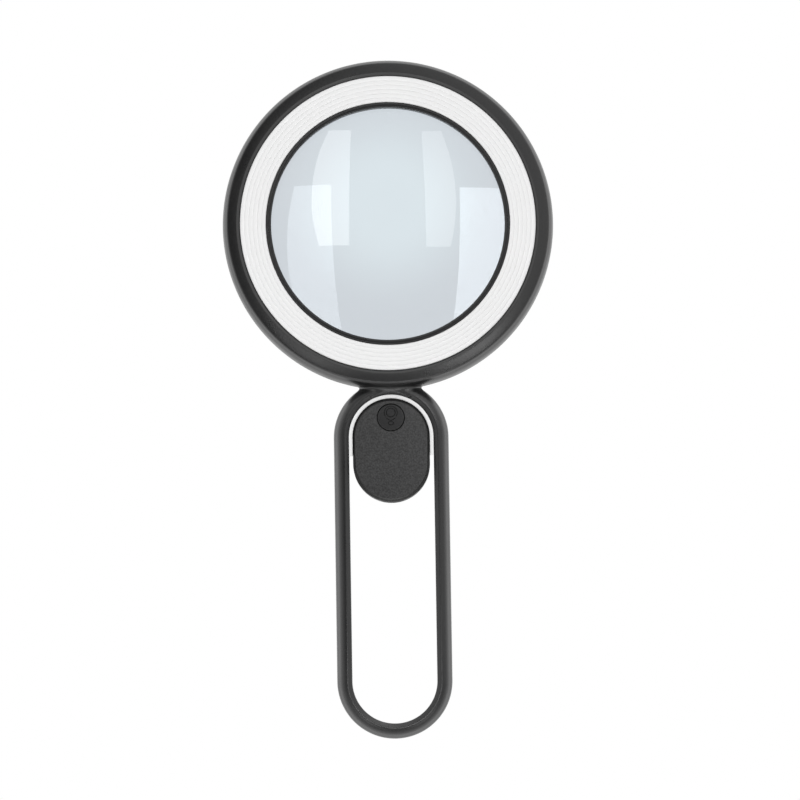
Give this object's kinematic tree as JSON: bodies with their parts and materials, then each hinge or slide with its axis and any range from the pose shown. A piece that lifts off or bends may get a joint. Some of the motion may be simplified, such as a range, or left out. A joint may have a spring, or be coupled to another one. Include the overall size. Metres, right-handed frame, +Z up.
{
  "type": "low vision magnifier",
  "caption": "Lit hand magnifier: thick clear lens in a round black head with a white ridged ring, on an open loop handle that holds an oval pod with a push button.",
  "frame": {"origin": "middle of the hand grip: centre of the handle loop, in its middle plane", "axes": "+Z up the handle to the lens, -Y out of the viewing side with the button, +X to the right seen from that side"},
  "size_m": [0.141, 0.02, 0.2889],
  "materials": {
    "black_plastic": "fine matte texture, moulded ABS",
    "bezel_black": "satin",
    "pod_grey": "fine matte texture",
    "button_grey": "matte",
    "ring_white": "satin",
    "trim_white": "satin",
    "diffuser_white": "opal, satin",
    "lens_clear": "polished",
    "gasket_rubber": "soft",
    "lamp_board_white": "solder mask",
    "board_green": "solder mask",
    "lamp_body": "clear resin over phosphor",
    "switch_black": "moulded",
    "plunger_white": "moulded",
    "cell_foil": "satin foil",
    "socket_steel": "tin plated",
    "wire_red": "insulation",
    "wire_black": "insulation",
    "screw_steel": "plated"
  },
  "bodies": {
    "frame": {"front_shell": "black_plastic", "rear_shell": "black_plastic", "lens": "lens_clear", "lens_bezel": "bezel_black", "lens_retainer": "bezel_black", "lens_gasket": "gasket_rubber", "light_ring": "ring_white", "rear_diffuser": "diffuser_white", "led_board": "lamp_board_white", "trim_arch": "trim_white", "pod_cover": "pod_grey", "pod_housing": "pod_grey", "control_board": "board_green", "switch_base": "switch_black", "battery_cell": "cell_foil", "charge_socket": "socket_steel", "lamp_lead_plus": "wire_red", "lamp_lead_minus": "wire_black", "cell_lead_plus": "wire_red", "cell_lead_minus": "wire_black", "led_01": "lamp_body", "led_02": "lamp_body", "led_03": "lamp_body", "led_04": "lamp_body", "led_05": "lamp_body", "led_06": "lamp_body", "led_07": "lamp_body", "led_08": "lamp_body", "led_09": "lamp_body", "led_10": "lamp_body", "led_11": "lamp_body", "led_12": "lamp_body", "head_screw_1": "screw_steel", "head_screw_2": "screw_steel", "head_screw_3": "screw_steel", "head_screw_4": "screw_steel", "loop_screw_1": "screw_steel", "loop_screw_2": "screw_steel", "pod_screw_1": "screw_steel", "pod_screw_2": "screw_steel"},
    "button": {"button_cap": "button_grey", "switch_plunger": "plunger_white"}
  },
  "joints": [
    {"name": "button_press", "type": "slide", "parent": "frame", "child": "button", "axis": [0, 1, 0], "range_m": [0, 0.0008], "stiffness_N_per_m": 1500}
  ]
}
